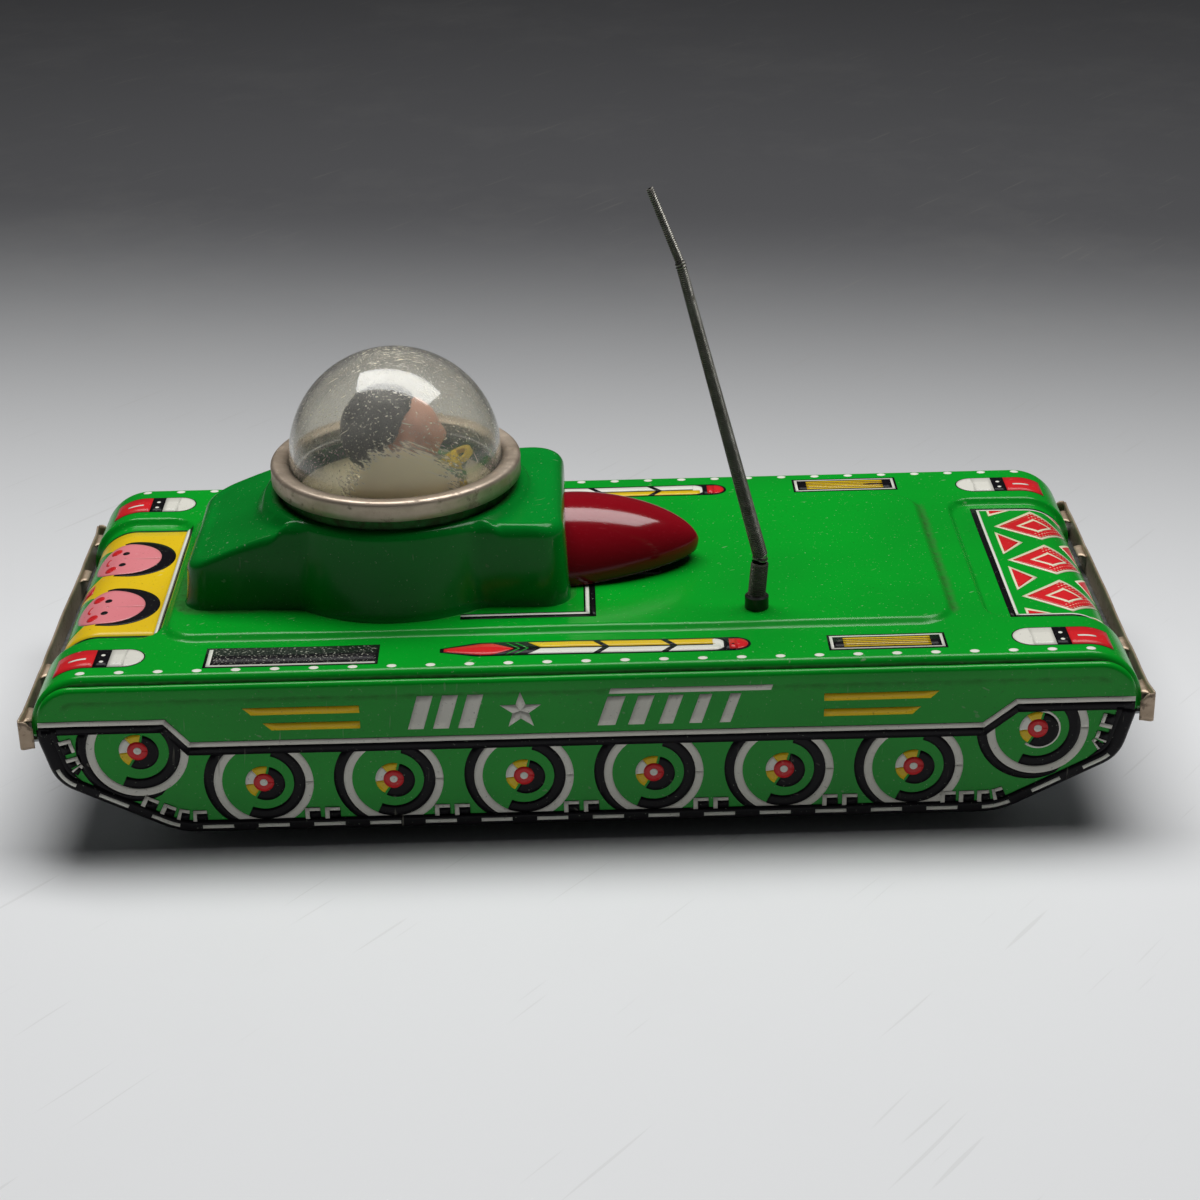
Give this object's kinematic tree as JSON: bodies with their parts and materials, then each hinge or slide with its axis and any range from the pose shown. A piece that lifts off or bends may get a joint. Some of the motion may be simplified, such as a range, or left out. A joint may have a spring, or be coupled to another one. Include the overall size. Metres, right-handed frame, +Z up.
{
  "type": "tin friction tank toy",
  "caption": "Tinplate friction-drive toy tank with printed track sides, clear dome with driver, red spark nose and wire whip antenna.",
  "frame": {"origin": "on the floor, under the middle of the toy's footprint box", "axes": "+X forward, to the end the red nose points at; +Y to the toy's left, the side without the antenna; +Z up"},
  "size_m": [0.2318, 0.1008, 0.1317],
  "materials": {
    "printed_tin": "gloss lithographed enamel on tinplate",
    "bare_tin": "dull aged tinplate",
    "tarnished_ring": "tarnished nickel-plated tin",
    "clear_plastic": "scuffed clear moulded plastic",
    "cab_paint": "olive beige enamel",
    "tunic_paint": "matt paint",
    "skin_paint": "matt paint",
    "hair_paint": "gloss paint",
    "yellow_plastic": "moulded",
    "red_plastic": "translucent moulded plastic",
    "black_plastic": "moulded",
    "spring_wire": "close-wound dark steel wire",
    "steel_rod": "drawn",
    "cast_lead": "dull cast metal",
    "brass_gear": "stamped",
    "abrasive": "bonded grit",
    "flint_stone": "rough",
    "wheel_tin": "zinc-coated pressing",
    "tyre_rubber": "moulded ring"
  },
  "bodies": {
    "hull": {"top_shell": "printed_tin", "left_side_panel": "printed_tin", "right_side_panel": "printed_tin", "base_plate": "bare_tin", "front_bumper": "bare_tin", "rear_bumper": "bare_tin", "turret_shell": "printed_tin", "dome_ring": "tarnished_ring", "dome": "clear_plastic", "dome_floor": "cab_paint", "driver_torso": "tunic_paint", "driver_head": "skin_paint", "driver_hair": "hair_paint", "control_wheel": "yellow_plastic", "nose_cone": "red_plastic", "antenna_socket": "black_plastic", "antenna_stub": "spring_wire", "motor_plate_left": "bare_tin", "motor_plate_right": "bare_tin", "motor_spacers": "steel_rod", "motor_rivets": "steel_rod", "rear_axle_bracket_left": "bare_tin", "rear_axle_bracket_right": "bare_tin", "bracket_rivets": "steel_rod", "arm_pin": "steel_rod", "flint_spring": "spring_wire"},
    "flywheel": {"flywheel": "cast_lead", "flywheel_shaft": "steel_rod", "flywheel_pinion": "brass_gear", "spark_wheel": "abrasive"},
    "layshaft": {"layshaft": "steel_rod", "layshaft_pinion": "brass_gear", "layshaft_gear": "brass_gear"},
    "drive_axle": {"drive_axle": "steel_rod", "drive_gear": "brass_gear", "drive_wheel_left": "wheel_tin", "drive_wheel_right": "wheel_tin", "drive_tyre_left": "tyre_rubber", "drive_tyre_right": "tyre_rubber"},
    "rear_axle": {"rear_axle": "steel_rod", "rear_wheel_left": "wheel_tin", "rear_wheel_right": "wheel_tin"},
    "flint_arm": {"flint_arm": "spring_wire", "flint": "flint_stone"},
    "antenna": {"antenna_mast": "spring_wire", "antenna_tip": "spring_wire"}
  },
  "joints": [
    {"name": "flywheel_spin", "type": "hinge", "parent": "hull", "child": "flywheel", "pos_m": [0.01127, 0, 0.02308], "axis": [0, 1, 0], "continuous": true},
    {"name": "layshaft_spin", "type": "hinge", "parent": "hull", "child": "layshaft", "pos_m": [0.02575, 0, 0.02105], "axis": [0, 1, 0], "continuous": true},
    {"name": "drive_axle_spin", "type": "hinge", "parent": "hull", "child": "drive_axle", "pos_m": [0.0353, 0, 0.0115], "axis": [0, 1, 0], "continuous": true},
    {"name": "rear_axle_spin", "type": "hinge", "parent": "hull", "child": "rear_axle", "pos_m": [-0.062, 0, 0.0115], "axis": [0, 1, 0], "continuous": true},
    {"name": "flint_arm_lift", "type": "hinge", "parent": "hull", "child": "flint_arm", "pos_m": [-0.005, 0, 0.03488], "axis": [0, -1, 0], "range_deg": [0, 8], "stiffness_Nm_per_rad": 0.01, "springref_deg": -11.46},
    {"name": "antenna_sway", "type": "hinge", "parent": "hull", "child": "antenna", "pos_m": [0.0368, -0.026, 0.0516], "axis": [0, 1, 0], "range_deg": [-14, 14], "stiffness_Nm_per_rad": 0.02, "springref_deg": 0.92}
  ],
  "couplings": [
    {"joint": "layshaft_spin", "follows": "flywheel_spin", "ratio": -0.34483},
    {"joint": "drive_axle_spin", "follows": "flywheel_spin", "ratio": 0.17241}
  ]
}
